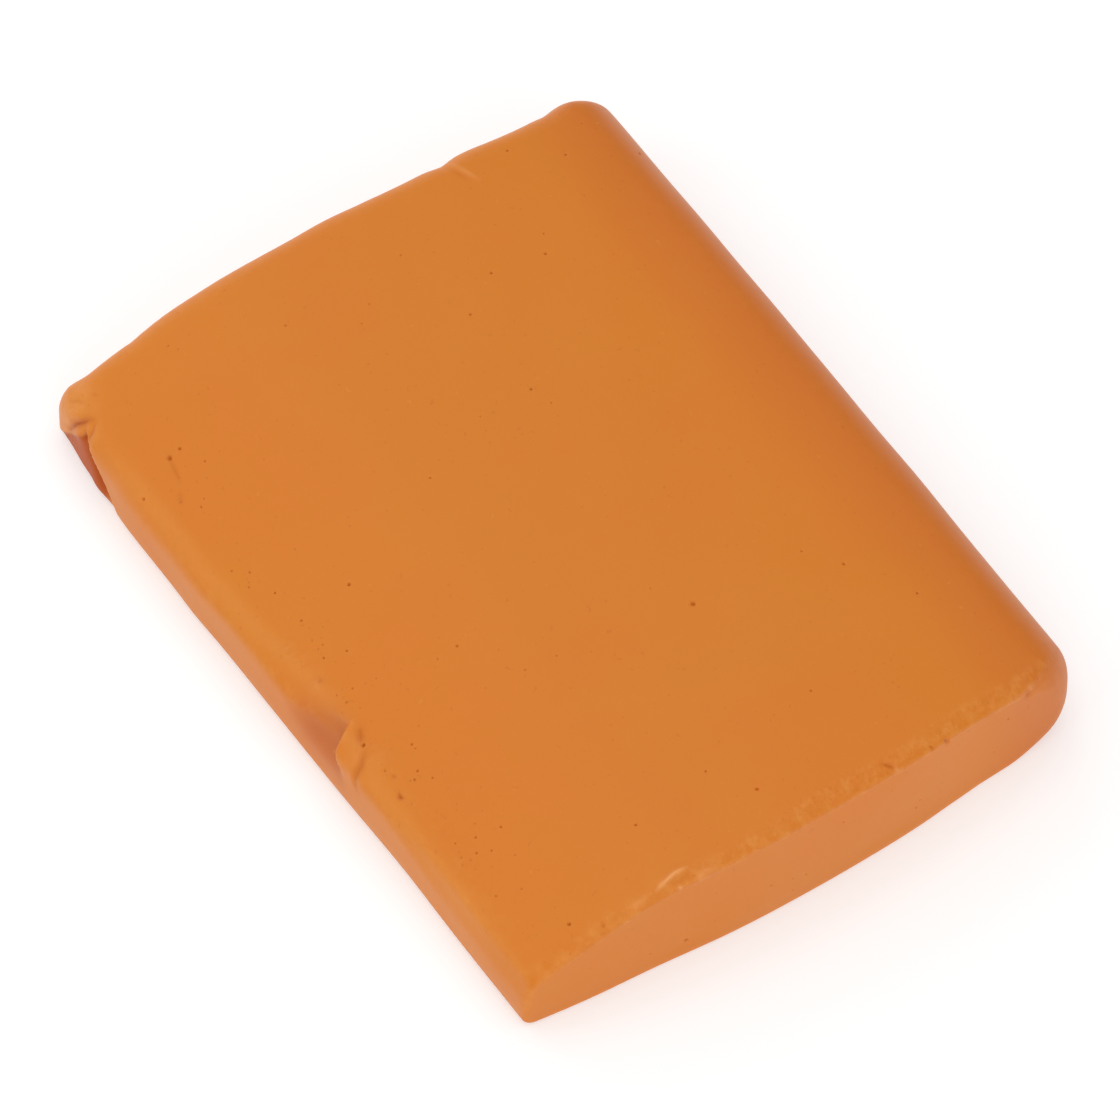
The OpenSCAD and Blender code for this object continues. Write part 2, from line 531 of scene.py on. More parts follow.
    def slope(self, points: Points, step: float = 0.02) -> Points:
        """The field's gradient, by central differences.

        Args:
            points: places in millimetres.
            step: how far apart the two readings are.

        Returns:
            The gradient at each point.
        """
        parts = []
        for axis in range(3):
            move = np.zeros(3)
            move[axis] = step
            parts.append((self.at(points + move) - self.at(points - move)) / (2.0 * step))
        return np.stack(parts, 1)

    def settle(self, points: Points, passes: int = 2) -> Points:
        """Moves points onto the clay's surface along the field's gradient.

        Args:
            points: places near the surface.
            passes: how many times to correct them.

        Returns:
            The corrected places.
        """
        for _ in range(passes):
            slope = self.slope(points)
            size = np.maximum((slope * slope).sum(1), self.FLATTEST)
            step = np.clip(self.at(points) / size, -self.LONGEST_STEP, self.LONGEST_STEP)
            points = points - slope * step[:, None]
        return points


# --------------------------------------------------------------------------- marks in the skin
@dataclass
class Slabs:
    """Points sorted along the bar, so that the few near a mark are found quickly."""

    points: Points

    def __post_init__(self) -> None:
        """Sorts the points by their place along the bar."""
        self.order = np.argsort(self.points[:, 0])
        self.sorted = self.points[self.order, 0]

    def within(self, low: Points, high: Points) -> np.ndarray:
        """Finds the points in a box.

        Args:
            low: the box's lowest corner.
            high: the box's highest corner.

        Returns:
            The indices of the points inside it.
        """
        first, last = np.searchsorted(self.sorted, (low[0], high[0]))
        near = self.order[first:last]
        inside = np.all((self.points[near] >= low) & (self.points[near] <= high), axis=1)
        return near[inside]


class Mark(Enum):
    """Whether a stroke is pressed into the clay or stands proud of it."""

    CREASE = -1.0
    LIP = 1.0


@dataclass(frozen=True)
class Stroke:
    """A crease or a lip that follows a short line on the skin."""

    BLUNT_END = 0.04
    TAPER = 0.6
    FALLOFF = 1.4

    mark: Mark
    path: tuple[Place, ...]
    width: float
    height: float

    def nearest(self, points: Points) -> tuple[Values, Values]:
        """How far points are from the line, and how far along it they fall.

        Args:
            points: places in millimetres.

        Returns:
            The distances, and the shares of the line's length from 0 to 1.
        """
        path = np.array(self.path)
        legs = np.linalg.norm(np.diff(path, axis=0), axis=1)
        passed = 0.0
        best = np.full(len(points), 1e9)
        share = np.zeros(len(points))
        for start, end, leg in zip(path[:-1], path[1:], legs):
            t = np.clip((points - start) @ (end - start) / leg**2, 0.0, 1.0)
            gap = np.linalg.norm(points - start - t[:, None] * (end - start), axis=1)
            closer = gap < best
            best = np.where(closer, gap, best)
            share = np.where(closer, (passed + t * leg) / legs.sum(), share)
            passed += leg
        return best, share

    @classmethod
    def crease(cls, width: float, depth: float, *path: Place) -> "Stroke":
        """A stroke pressed into the clay along a path."""
        return cls(Mark.CREASE, path, width, depth)

    @classmethod
    def lip(cls, width: float, height: float, *path: Place) -> "Stroke":
        """A stroke that stands proud of the clay along a path."""
        return cls(Mark.LIP, path, width, height)

    def near(self, slabs: Slabs, reach: float) -> np.ndarray:
        """The indices of the points within reach of the stroke's box."""
        path = np.array(self.path)
        return slabs.within(path.min(0) - reach, path.max(0) + reach)

    def height_at(self, points: Points) -> Values:
        """How far the stroke moves the skin outwards.

        Args:
            points: places on the skin.

        Returns:
            The height in millimetres, below 0 in a crease.
        """
        gap, share = self.nearest(points)
        inner = np.clip(share, self.BLUNT_END, 1.0 - self.BLUNT_END)
        taper = np.clip(np.sin(math.pi * inner), 0.0, 1.0) ** self.TAPER
        return self.mark.value * self.height * taper * np.exp(-((gap / self.width) ** self.FALLOFF))


@dataclass(frozen=True)
class Pit:
    """A pinhole left by a bubble in the clay."""

    DEPTH_SHARE = 1.1
    DEEPEST = 0.32

    place: Place
    radius: float
    depth: float

    def near(self, slabs: Slabs, reach: float) -> tuple[np.ndarray, Values]:
        """Finds the points around the pit.

        Args:
            slabs: the sorted points.
            reach: how far from the pit's middle to look.

        Returns:
            The points' indices, and how far each is from the pit's middle.
        """
        place = np.array(self.place)
        found = slabs.within(place - reach, place + reach)
        return found, np.linalg.norm(slabs.points[found] - place, axis=1)


@dataclass(frozen=True)
class Rough:
    """A patch where the clay has dragged or crumbled and the skin is finely broken."""

    centre: Place
    reach: Place
    height: float
    grain: float
    seed: int

    def share_at(self, points: Points) -> Values:
        """How much of the patch's roughness each point has, from 0 to 1."""
        scaled = (points - np.array(self.centre)) / np.array(self.reach)
        return np.exp(-((scaled**2).sum(1)))

    def height_at(self, points: Points) -> Values:
        """The patch's uneven height.

        Args:
            points: places on the skin.

        Returns:
            The height in millimetres.
        """
        waves = Waves(
            seed=self.seed,
            count=16,
            shortest=0.7 * self.grain,
            longest=2.2 * self.grain,
            height=self.height,
        )
        height = np.zeros(len(points))
        share = self.share_at(points)
        near = share > 0.01
        height[near] = waves.at(points[near]) * share[near]
        return height


@dataclass
class Marks:
    """Every small mark on the bar: creases, lips, rough patches and pinholes."""

    form: BarForm
    seed: int = 5
    fine_lip: float = 0.17
    band_pits: int = 80
    top_pits: int = 34
    nose_pits: int = 22
    end_pits: int = 12
    strokes: list[Stroke] = field(default_factory=list)
    spots: list[tuple[float, float, float, float]] = field(default_factory=list)
    pits: list[Pit] = field(default_factory=list)
    patches: list[Rough] = field(default_factory=list)

    def lay_out(self) -> None:
        """Fills in all the marks."""
        self.fold_strokes()
        self.notch_strokes()
        self.cut_edge_strokes()
        self.band_strokes()
        self.rough_patches()
        self.chosen_pits()
        self.scattered_pits()
        self.settle_strokes()
        self.sink_pits()

    def settle_strokes(self, spacing: float = 0.4) -> None:
        """Lays every stroke's path onto the clay's surface, in short legs.

        Args:
            spacing: the longest leg, in millimetres.
        """
        laid = []
        for stroke in self.strokes:
            path = np.array(stroke.path)
            dense = [path[0]]
            for start, end in zip(path[:-1], path[1:]):
                legs = max(1, math.ceil(float(np.linalg.norm(end - start)) / spacing))
                dense += [start + (end - start) * leg / legs for leg in range(1, legs + 1)]
            settled = self.form.settle(np.array(dense), passes=6)
            laid.append(replace(stroke, path=tuple(tuple(place) for place in settled)))
        self.strokes = laid

    def fold_strokes(self) -> None:
        """Pleats that run out from the pinch at the folded corner, and the wrinkles above it."""
        pinch = (-36.9, -30.1, 7.1)
        self.strokes += [
            Stroke.crease(0.34, 0.42, pinch, (-38.2, -30.5, 5.6), (-39.6, -30.9, 3.4)),
            Stroke.crease(0.20, 0.14, (-36.6, -30.0, 7.3), (-35.9, -30.5, 6.5), (-35.6, -30.9, 5.2)),
            Stroke.crease(0.22, 0.22, (-36.4, -30.5, 6.4), (-36.9, -30.8, 5.2)),
            Stroke.lip(0.45, 0.26, (-36.2, -30.0, 7.3), (-35.5, -30.4, 6.9), (-35.0, -30.8, 6.0)),
            Stroke.lip(0.45, 0.20, (-37.0, -30.5, 5.9), (-38.2, -30.8, 4.6)),
            Stroke.lip(0.70, 0.30, (-37.3, -29.9, 7.6), (-38.9, -30.3, 6.2), (-40.2, -30.4, 5.0)),
            Stroke.crease(0.20, 0.10, (-40.4, -30.0, 6.4), (-39.7, -30.0, 6.8), (-38.9, -29.8, 7.2)),
            Stroke.lip(0.50, 0.22, (-40.6, -29.7, 7.0), (-39.6, -29.4, 7.8), (-38.9, -28.7, 8.5)),
            Stroke.crease(0.20, 0.08, (-39.1, -29.0, 8.0), (-38.4, -28.6, 8.4)),
        ]

    def notch_strokes(self) -> None:
        """The small folds to the right of the notch."""
        self.strokes += [
            Stroke.crease(
                0.36, 0.22, (10.2, -29.3, 7.9), (10.5, -29.8, 7.2), (11.3, -30.5, 6.2),
                (12.0, -31.0, 5.0),
            ),
            Stroke.lip(0.45, 0.16, (9.6, -29.8, 7.2), (10.3, -30.3, 6.4), (11.2, -30.9, 5.2)),
            Stroke.lip(0.90, 0.30, (11.6, -29.6, 7.5), (12.6, -29.0, 8.1), (13.6, -28.7, 8.3)),
            Stroke.crease(0.40, 0.22, (8.0, -28.6, 8.4), (8.6, -29.1, 8.0), (9.4, -29.5, 7.7)),
            Stroke.lip(0.42, 0.26, (1.3, -29.5, 7.8), (2.1, -29.3, 8.0)),
            Stroke.crease(0.22, 0.14, (1.1, -29.0, 8.3), (1.8, -28.9, 8.4)),
            Stroke.crease(0.17, 0.26, (16.0, -29.5, 7.8), (16.4, -29.7, 7.5), (16.9, -29.5, 7.7)),
            Stroke.crease(0.16, 0.14, (14.1, -29.1, 8.0), (14.8, -29.0, 8.1)),
        ]

    def cut_edge_strokes(self) -> None:
        """The curled lip, the undercut and the nicks along the cut end's upper edge."""
        self.strokes += [
            Stroke.lip(
                0.17, 0.30, (41.1, -17.2, 12.3), (40.9, -16.0, 12.6), (40.7, -14.8, 12.7),
                (40.8, -13.5, 12.8),
            ),
            Stroke.crease(0.30, 0.05, (41.5, -15.4, 12.4), (41.5, -14.4, 12.6), (41.5, -13.3, 12.6)),
            Stroke.lip(0.28, 0.24, (42.1, -13.4, 12.2), (42.0, -12.4, 12.6), (42.2, -10.9, 12.5)),
            Stroke.lip(0.18, 0.14, (42.0, -15.3, 12.3), (42.2, -14.8, 12.2)),
            Stroke.lip(0.34, 0.13, (40.9, -20.6, 11.5), (41.0, -19.4, 11.8), (41.1, -18.0, 12.2)),
            Stroke.crease(0.14, 0.14, (40.5, -22.9, 10.8), (41.0, -22.9, 10.7)),
            Stroke.crease(0.18, 0.20, (41.5, 8.2, 13.0), (42.1, 8.8, 12.8), (42.5, 9.1, 12.5)),
            Stroke.lip(0.22, 0.16, (42.5, 9.0, 12.6), (42.7, 9.4, 12.3)),
            Stroke.crease(0.14, 0.20, (42.2, 13.3, 12.6), (42.6, 13.6, 12.2)),
            Stroke.crease(0.18, 0.26, (42.1, 15.0, 12.2), (42.6, 15.4, 11.5)),
            Stroke.lip(0.24, 0.14, (41.0, 25.2, 11.5), (41.5, 25.8, 11.0)),
            Stroke.crease(0.30, 0.16, (41.2, 24.8, 10.9), (41.5, 25.4, 10.4)),
            Stroke.lip(0.45, 0.08, (42.4, 16.2, 0.5), (42.3, 17.4, 0.6), (42.2, 18.9, 0.5)),
        ]

    def band_strokes(self) -> None:
        """Fine creases in the band and at the folded end."""
        self.strokes += [
            Stroke.crease(0.20, 0.12, (-28.2, -27.2, 9.3), (-26.6, -27.5, 9.1), (-24.9, -27.8, 8.9)),
            Stroke.crease(0.20, 0.10, (-24.3, -28.4, 8.6), (-23.2, -28.8, 8.3)),
            Stroke.lip(0.30, 0.10, (-39.4, 13.0, 13.7), (-38.0, 13.6, 13.9), (-36.2, 14.3, 13.9)),
            Stroke.crease(0.30, 0.08, (-39.4, 12.3, 13.7), (-38.0, 13.0, 13.9), (-36.5, 13.7, 13.9)),
        ]

    def rough_patches(self) -> None:
        """Where the skin is broken: by the pinch, along the cut edge and on the band."""
        self.patches += [
            Rough((-38.2, -30.2, 6.9), (1.0, 0.9, 0.8), 0.055, 0.45, 21),
            Rough((41.3, 2.0, 13.0), (0.8, 4.6, 1.2), 0.040, 0.38, 22),
            Rough((41.8, -6.0, 12.9), (0.7, 3.4, 1.2), 0.026, 0.40, 23),
            Rough((9.5, -29.3, 7.8), (3.2, 1.1, 1.3), 0.070, 0.60, 24),
            Rough((-3.0, -29.4, 8.0), (6.0, 1.4, 1.1), 0.055, 0.55, 25),
            Rough((24.0, -29.0, 8.1), (9.0, 1.7, 1.3), 0.052, 0.55, 26),
            Rough((-23.5, -28.8, 8.3), (2.6, 0.9, 0.9), 0.026, 0.50, 27),
        ]

    def add_pit(self, x: float, y: float, radius: float, z: float | None = None) -> None:
        """Notes where one pinhole goes: on the top or the band, or with a height given, on a side.

        Args:
            x: place along the bar.
            y: place across the bar.
            radius: the pinhole's radius.
            z: a height near the surface, or None for the top face.
        """
        if z is None:
            z = float(self.form.top_height(np.array([x]), np.array([y]))[0])
        self.spots.append((x, y, z, radius))

    def sink_pits(self) -> None:
        """Drops every noted pinhole onto the clay's surface."""
        spots = np.array(self.spots)
        places = self.form.settle(spots[:, :3], passes=6)
        for place, radius in zip(places, spots[:, 3]):
            depth = min(Pit.DEPTH_SHARE * float(radius), Pit.DEEPEST)
            self.pits.append(Pit(tuple(place), float(radius), depth))

    def chosen_pits(self) -> None:
        """The pinholes that the eye finds first."""
        for x, y, radius in (
            (17.0, 3.4, 0.27), (20.8, 18.2, 0.17), (-12.2, 4.4, 0.17), (-22.8, 4.4, 0.15),
            (37.5, -3.3, 0.19), (33.2, -6.2, 0.13), (31.2, 7.2, 0.13), (8.0, -17.6, 0.16),
            (-9.0, -9.4, 0.13), (-4.4, -21.8, 0.19), (17.5, 15.6, 0.12), (27.2, 22.3, 0.14),
            (38.4, -25.2, 0.20), (-27.9, -27.2, 0.28), (-27.9, -26.0, 0.19), (-25.1, 14.7, 0.16),
            (-25.9, 8.9, 0.16), (-37.8, 18.7, 0.15), (-34.4, 23.3, 0.14), (-31.8, -11.1, 0.12),
            (34.3, -14.9, 0.15), (26.0, -24.6, 0.13),
        ):
            self.add_pit(x, y, radius)
        self.add_pit(-26.5, -30.7, 0.18, 6.2)
        self.add_pit(9.7, -29.4, 0.25, 7.8)
        self.add_pit(42.4, -14.4, 0.20, 2.6)
        self.add_pit(-31.7, 30.2, 0.16, 11.2)

    def scattered_pits(self) -> None:
        """Seeded pinholes: many small ones along the band, and a few over the rest."""
        draw = np.random.default_rng(self.seed)
        for _ in range(self.band_pits):
            x = draw.uniform(-26.0, 36.0)
            y = -29.4 + abs(draw.normal(0.0, 2.4))
            self.add_pit(x, min(y, -21.0), 0.06 + 0.09 * draw.uniform() ** 2)
        for _ in range(self.top_pits):
            radius = 0.05 + 0.06 * draw.uniform() ** 2
            self.add_pit(draw.uniform(-38.0, 39.0), draw.uniform(-24.0, 27.0), radius)
        for _ in range(self.nose_pits):
            x, radius = draw.uniform(-38.0, 38.0), draw.uniform(0.08, 0.14)
            self.add_pit(x, 31.5, radius, draw.uniform(4.0, 10.0))
        for _ in range(self.end_pits):
            y, radius = draw.uniform(-27.0, 26.0), draw.uniform(0.08, 0.13)
            self.add_pit(42.0, y, radius, draw.uniform(2.0, 10.0))
        for _ in range(self.end_pits):
            y, radius = draw.uniform(-24.0, 27.0), draw.uniform(0.08, 0.13)
            self.add_pit(-41.5, y, radius, draw.uniform(3.0, 11.0))

    def cell_at(self, points: Points, largest: float) -> Values:
        """The mesh size wanted at each point, finer near marks.

        Args:
            points: places on the skin.
            largest: the size wanted far from any mark.

        Returns:
            The edge length wanted, in millimetres.
        """
        cell = np.full(len(points), largest)
        slabs = Slabs(points)
        for pit in self.pits:
            near, gap = pit.near(slabs, pit.radius + 1.4)
            wanted = 0.5 * pit.radius + 0.75 * np.maximum(gap - 1.1 * pit.radius, 0.0)
            cell[near] = np.minimum(cell[near], wanted)
        for stroke in self.strokes:
            near = stroke.near(slabs, 2.0)
            gap = stroke.nearest(points[near])[0]
            wanted = 0.75 * stroke.width + 0.6 * np.maximum(gap - 1.4 * stroke.width, 0.0)
            cell[near] = np.minimum(cell[near], wanted)
        for patch in self.patches:
            share = patch.share_at(points)
            cell = np.minimum(cell, np.where(share > 0.3, 0.42 * patch.grain, largest))
        return cell

    def press(self, points: Points, normals: Points) -> tuple[Points, dict[str, Values]]:
        """Presses every mark into the skin.

        Args:
            points: places on the smooth skin.
            normals: the skin's normals there.

        Returns:
            The new places, and masks of the pits, the creases and the fine lips, where the finish paints
            shade into the pits and creases and a highlight onto the lips.
        """
        height = np.zeros(len(points))
        hole = np.zeros(len(points))
        crease = np.zeros(len(points))
        lip = np.zeros(len(points))
        slabs = Slabs(points)
        for stroke in self.strokes:
            near = stroke.near(slabs, 4.0 * stroke.width)
            move = stroke.height_at(points[near])
            height[near] += move
            if stroke.mark is Mark.CREASE:
                # the crease mask is where the finish paints shade into the creases
                crease[near] = np.maximum(crease[near], np.clip(-move / 0.6, 0.0, 1.0))
            else:
                # the lip mask is where the finish paints a highlight on fine lips
                crisp = min(1.0, (self.fine_lip / stroke.width) ** 2)
                lip[near] = np.maximum(lip[near], crisp * np.clip(move / stroke.height, 0.0, 1.0))
        for patch in self.patches:
            height += patch.height_at(points)
        for pit in self.pits:
            near, gap = pit.near(slabs, 1.3 * pit.radius)
            share = 1.0 - smooth_step(0.25, 1.15, gap / pit.radius)
            height[near] -= pit.depth * share
            # the pit mask is where the finish paints shade into the pinholes
            hole[near] = np.maximum(hole[near], share)
        return points + normals * height[:, None], {"pit": hole, "crease": crease, "lip": lip}


# --------------------------------------------------------------------------- the skin's mesh
@dataclass
class Skin:
    """A closed triangle mesh over the form, fine where the marks need it."""

    form: BarForm
    marks: Marks
    cell: float = 0.68
    edge_cell: float = 0.40
    smallest: float = 0.07
    passes: int = 4
    longest: float = 1.45
    grid_shift: float = 0.37
    sharp: float = 1.2

    def samples(self) -> tuple[Values, Points]:
        """Reads the field on a grid of cubes around the bar.

        Returns:
            The field's values on the grid, and the grid's lowest corner.
        """
        margin = 2.5
        half = np.array([self.form.length / 2.0, self.form.width / 2.0])
        low = np.append(-half - margin, -margin) + self.grid_shift * self.cell
        high = np.append(half + margin, self.form.height + margin)
        axes = [np.arange(low[a], high[a], self.cell) for a in range(3)]
        grid = np.stack(np.meshgrid(*axes, indexing="ij"), -1)
        values = self.form.at(grid.reshape(-1, 3)).reshape(grid.shape[:3])
        return values, low

    def net(self) -> tuple[Points, np.ndarray]:
        """Wraps the field in a net: one point in each cube that the surface passes through.

        Returns:
            The points, and the squares that join them, as rows of four indices.
        """
        values, low = self.samples()
        inside = values < 0.0
        count = np.zeros(np.array(values.shape) - 1, int)
        for corner in np.ndindex(2, 2, 2):
            count += inside[tuple(slice(c, c + n) for c, n in zip(corner, count.shape))]
        cubes = np.argwhere((count > 0) & (count < 8))
        index = np.full(count.shape, -1)
        index[tuple(cubes.T)] = np.arange(len(cubes))
        total = np.zeros((len(cubes), 3))
        hits = np.zeros(len(cubes))
        for axis in range(3):
            for other in np.ndindex(2, 2):
                start = np.insert(np.array(other), axis, 0)
                end = start.copy()
                end[axis] = 1
                a = values[tuple((cubes + start).T)]
                b = values[tuple((cubes + end).T)]
                crossed = (a < 0.0) != (b < 0.0)
                t = np.where(crossed, a / np.where(crossed, a - b, 1.0), 0.0)
                total += np.where(crossed[:, None], start + t[:, None] * (end - start), 0.0)
                hits += crossed
        points = low + (cubes + total / hits[:, None]) * self.cell
        squares = []
        for axis in range(3):
            first = inside[tuple(slice(0, -1) if a == axis else slice(1, -1) for a in range(3))]
            second = inside[tuple(slice(1, None) if a == axis else slice(1, -1) for a in range(3))]
            u, v = (axis + 1) % 3, (axis + 2) % 3
            for leaving in (True, False):
                found = np.argwhere((first & ~second) if leaving else (~first & second))
                base = found + np.array([0 if a == axis else 1 for a in range(3)])
                ring = []
                for du, dv in ((-1, -1), (0, -1), (0, 0), (-1, 0)):
                    cube = base.copy()
                    cube[:, u] += du
                    cube[:, v] += dv
                    ring.append(index[tuple(cube.T)])
                ring = np.stack(ring, 1)
                squares.append(ring if leaving else ring[:, ::-1])
        return points, np.concatenate(squares)

    @staticmethod
    def triangles(points: Points, squares: np.ndarray) -> np.ndarray:
        """Splits squares into triangles along their shorter diagonal.

        Args:
            points: the net's points.
            squares: rows of four indices.

        Returns:
            Rows of three indices.
        """
        a, b, c, d = squares.T
        one = np.linalg.norm(points[a] - points[c], axis=1)
        two = np.linalg.norm(points[b] - points[d], axis=1)
        along = (one <= two)[:, None]
        first = np.where(along, np.stack([a, b, c], 1), np.stack([a, b, d], 1))
        second = np.where(along, np.stack([a, c, d], 1), np.stack([b, c, d], 1))
        return np.concatenate([first, second])

    def wanted(self, points: Points) -> Values:
        """The edge length wanted at each point, finer at marks and at tight edges.

        Args:
            points: places on the skin.

        Returns:
            The wanted edge length, in millimetres.
        """
        cell = self.marks.cell_at(points, 1.5 * self.cell)
        x, y, z = points.T
        from_cut = self.form.cut_line(y) - x
        upper = (z > self.form.top_height(x, y) - 2.0) & (np.abs(from_cut) < 2.2)
        by_cleft = (x < -30.0) & (y < -27.5) & (z > 0.3)
        by_notch = (np.abs(x - 7.0) < 3.5) & (y < -27.5) & (z > 2.5)
        worn = self.form.worn_at(points) > 0.25
        rim = (from_cut < 3.0) | (self.form.wall_line(x, z) - y > -2.0)
        foot = (z < 2.6) & ((z > 0.05) | rim)
        cut_foot = (z < 0.9) & (from_cut < 1.6)
        for part, share in (
            (upper, 1.0), (by_cleft, 0.8), (by_notch, 0.8), (worn, 0.45), (foot, 1.3), (cut_foot, 0.5),
        ):
            cell[part] = np.minimum(cell[part], share * self.edge_cell)
        return np.maximum(cell, self.smallest)

    def split(self, points: Points, faces: np.ndarray) -> tuple[Points, np.ndarray, bool]:
        """Splits every edge that is longer than wanted, without opening the mesh.

        Args:
            points: the mesh's points.
            faces: rows of three indices.

        Returns:
            The new points, the new faces, and whether anything was split.
        """
        corners = np.stack([faces, np.roll(faces, -1, axis=1)], 2).reshape(-1, 2)
        edges, where = np.unique(np.sort(corners, axis=1), axis=0, return_inverse=True)
        middle = points[edges].mean(1)
        length = np.linalg.norm(points[edges[:, 0]] - points[edges[:, 1]], axis=1)
        long = length > self.longest * self.wanted(middle)
        if not long.any():
            return points, faces, False
        number = np.full(len(edges), -1)
        number[long] = len(points) + np.arange(int(long.sum()))
        points = np.concatenate([points, self.form.settle(middle[long])])
        mid = number[where.reshape(-1)].reshape(-1, 3)
        cuts = (mid >= 0).sum(1)
        made = [faces[cuts == 0]]
        for turn in range(3):
            f, m = np.roll(faces, -turn, axis=1), np.roll(mid, -turn, axis=1)
            one = (cuts == 1) & (m[:, 0] >= 0)
            made.append(np.stack([f[one, 0], m[one, 0], f[one, 2]], 1))
            made.append(np.stack([m[one, 0], f[one, 1], f[one, 2]], 1))
            two = (cuts == 2) & (m[:, 2] < 0)
            made.append(np.stack([m[two, 0], f[two, 1], m[two, 1]], 1))
            made.append(np.stack([f[two, 0], m[two, 0], m[two, 1]], 1))
            made.append(np.stack([f[two, 0], m[two, 1], f[two, 2]], 1))
        all_cut = cuts == 3
        f, m = faces[all_cut], mid[all_cut]
        for turn in range(3):
            after = (turn + 2) % 3
            made.append(np.stack([f[:, turn], m[:, turn], m[:, after]], 1))
        made.append(m)
        return points, np.concatenate(made), True

    def relax(self, points: Points, faces: np.ndarray, share: float = 0.5) -> Points:
        """Evens out the net by moving each point towards its neighbours, then back to the skin.

        Args:
            points: the mesh's points.
            faces: rows of three indices.
            share: how far to move.

        Returns:
            The new points.
        """
        total = np.zeros_like(points)
        hits = np.zeros(len(points))
        for a, b in ((0, 1), (1, 2), (2, 0)):
            np.add.at(total, faces[:, a], points[faces[:, b]])
            np.add.at(total, faces[:, b], points[faces[:, a]])
            np.add.at(hits, faces[:, a], 1.0)
            np.add.at(hits, faces[:, b], 1.0)
        moved = points + share * (total / hits[:, None] - points)
        return self.form.settle(moved, passes=1)

    def build(self) -> tuple[Points, np.ndarray, dict[str, Values]]:
        """Makes the whole skin.

        Returns:
            The points in millimetres, the triangles, and the masks that the finish reads.
        """
        points, squares = self.net()
        points = self.form.settle(points, passes=3)
        faces = self.triangles(points, squares)
        points = self.relax(points, faces)
        for _ in range(self.passes):
            points, faces, more = self.split(points, faces)
            if not more:
                break
            points = self.relax(points, faces, 0.3)
        points = self.form.settle(points, passes=4)
        slope = self.form.slope(points)
        normals = slope / np.maximum(np.linalg.norm(slope, axis=1), 1e-9)[:, None]
        # the edge mask is where the finish paints a highlight on tight outward edges
        edge = self.bend(points, normals)
        points, pressed = self.marks.press(points, normals)
        masks = self.form.masks(points)
        # painted shade: the creases' mask and the fold's are joined
        pressed["crease"] = np.maximum(pressed["crease"], masks["crease"])
        masks = {**masks, **pressed, "edge": edge}
        points[:, 2] = np.maximum(points[:, 2], 0.0)
        return points, faces, masks

    def bend(self, points: Points, normals: Points, reach: float = 0.5) -> Values:
        """How sharply the skin turns outwards, from 0 on flat skin to 1 at a tight edge.

        Args:
            points: places on the skin.
            normals: the skin's normals there.
            reach: how far off the skin to read.

        Returns:
            The share at each point.
        """
        spread = np.zeros(len(points))
        for axis in range(3):
            move = np.zeros(3)
            move[axis] = reach
            spread += self.form.at(points + move) + self.form.at(points - move)
        spread -= self.form.at(points + normals * reach) + self.form.at(points - normals * reach)
        return np.clip(spread / reach**2 / self.sharp, 0.0, 1.0)


